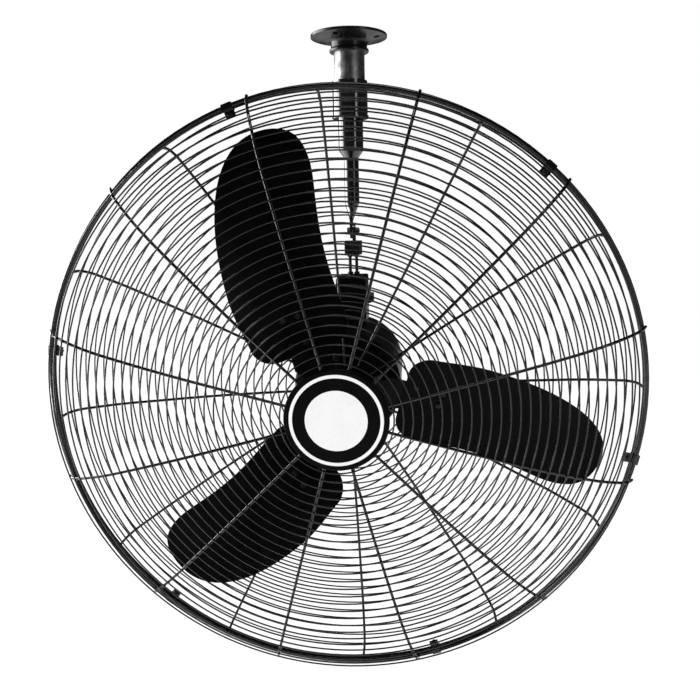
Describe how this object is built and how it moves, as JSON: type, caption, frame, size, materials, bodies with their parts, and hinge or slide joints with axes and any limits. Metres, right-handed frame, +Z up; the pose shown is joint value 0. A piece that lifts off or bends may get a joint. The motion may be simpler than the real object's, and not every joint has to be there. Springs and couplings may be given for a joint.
{
  "type": "industrial beam mount fan",
  "caption": "Industrial circulator fan that hangs from a beam on a pipe, with a wire guard, three paddle blades, and a head that swivels and tilts.",
  "frame": {"origin": "centre of the flange's top face, on the pipe's axis", "axes": "+Z up along the pipe; the fan blows towards -Y; +X to the right seen from the front"},
  "size_m": [0.8379, 0.3887, 0.947],
  "materials": {
    "flange_black": "semi-gloss black enamel on cast iron",
    "zinc_pipe": "zinc-plated pipe",
    "gloss_black": "gloss black enamel",
    "blade_black": "gloss black enamel",
    "motor_black": "satin black enamel",
    "wire_black": "gloss black powder coat on steel wire",
    "badge_black": "gloss black moulding",
    "badge_white": "white printed face, blank",
    "gland_plastic": "black nylon",
    "lamination_steel": "stacked laminations",
    "copper_winding": "enamelled copper",
    "capacitor_can": "drawn aluminium",
    "cast_hub": "black painted casting",
    "ground_steel": "ground steel",
    "black_fastener": "black oxide steel",
    "zinc_fastener": "zinc-plated steel"
  },
  "bodies": {
    "mount": {"ceiling_flange": "flange_black", "drop_pipe": "zinc_pipe", "flange_set_screw": "black_fastener"},
    "swivel": {"swivel_sleeve": "gloss_black", "sleeve_clamp_screws": "black_fastener", "sleeve_lock_nuts": "black_fastener", "hanger_arm": "gloss_black", "tilt_bolt": "black_fastener", "tilt_nut": "black_fastener", "tilt_washers": "black_fastener"},
    "rotor": {"motor_shaft": "ground_steel", "rotor_core": "lamination_steel", "blade_hub": "cast_hub", "hub_set_screw": "black_fastener", "fan_blade_1": "blade_black", "fan_blade_2": "blade_black", "fan_blade_3": "blade_black", "blade_rivets": "black_fastener"},
    "head": {"badge_cap": "badge_black", "badge_disc": "badge_white", "badge_ring": "badge_white", "badge_screws": "zinc_fastener", "box_rear_cover": "motor_black", "cable_gland": "gland_plastic", "capacitor_clamp": "zinc_fastener", "clip_nuts": "black_fastener", "clip_screws": "black_fastener", "cover_screws": "zinc_fastener", "front_bearing": "ground_steel", "front_guard_inner_rings": "wire_black", "front_guard_outer_rings": "wire_black", "front_guard_plate": "wire_black", "front_guard_ribs": "wire_black", "front_guard_rim": "wire_black", "guard_clips": "wire_black", "guard_plate_screws": "black_fastener", "hanger_box": "motor_black", "hanger_studs": "black_fastener", "motor_front_bell": "motor_black", "motor_rear_bell": "motor_black", "motor_shell": "motor_black", "motor_tie_bolts": "black_fastener", "rear_bearing": "ground_steel", "rear_bell_screws": "black_fastener", "rear_guard_inner_rings": "wire_black", "rear_guard_outer_rings": "wire_black", "rear_guard_plate": "wire_black", "rear_guard_ribs": "wire_black", "rear_guard_rim": "wire_black", "run_capacitor": "capacitor_can", "stator_core": "lamination_steel", "stator_windings": "copper_winding", "stud_nuts": "black_fastener", "tilt_block": "gloss_black"}
  },
  "joints": [
    {"name": "pan", "type": "hinge", "parent": "mount", "child": "swivel", "pos_m": [0, 0, -0.095], "axis": [0, 0, 1], "range_deg": [-180, 180]},
    {"name": "tilt", "type": "hinge", "parent": "swivel", "child": "head", "pos_m": [0, 0, -0.299], "axis": [1, 0, 0], "range_deg": [-30, 45]},
    {"name": "spin", "type": "hinge", "parent": "head", "child": "rotor", "pos_m": [0, -0.25, -0.528], "axis": [0, 1, 0], "continuous": true}
  ]
}
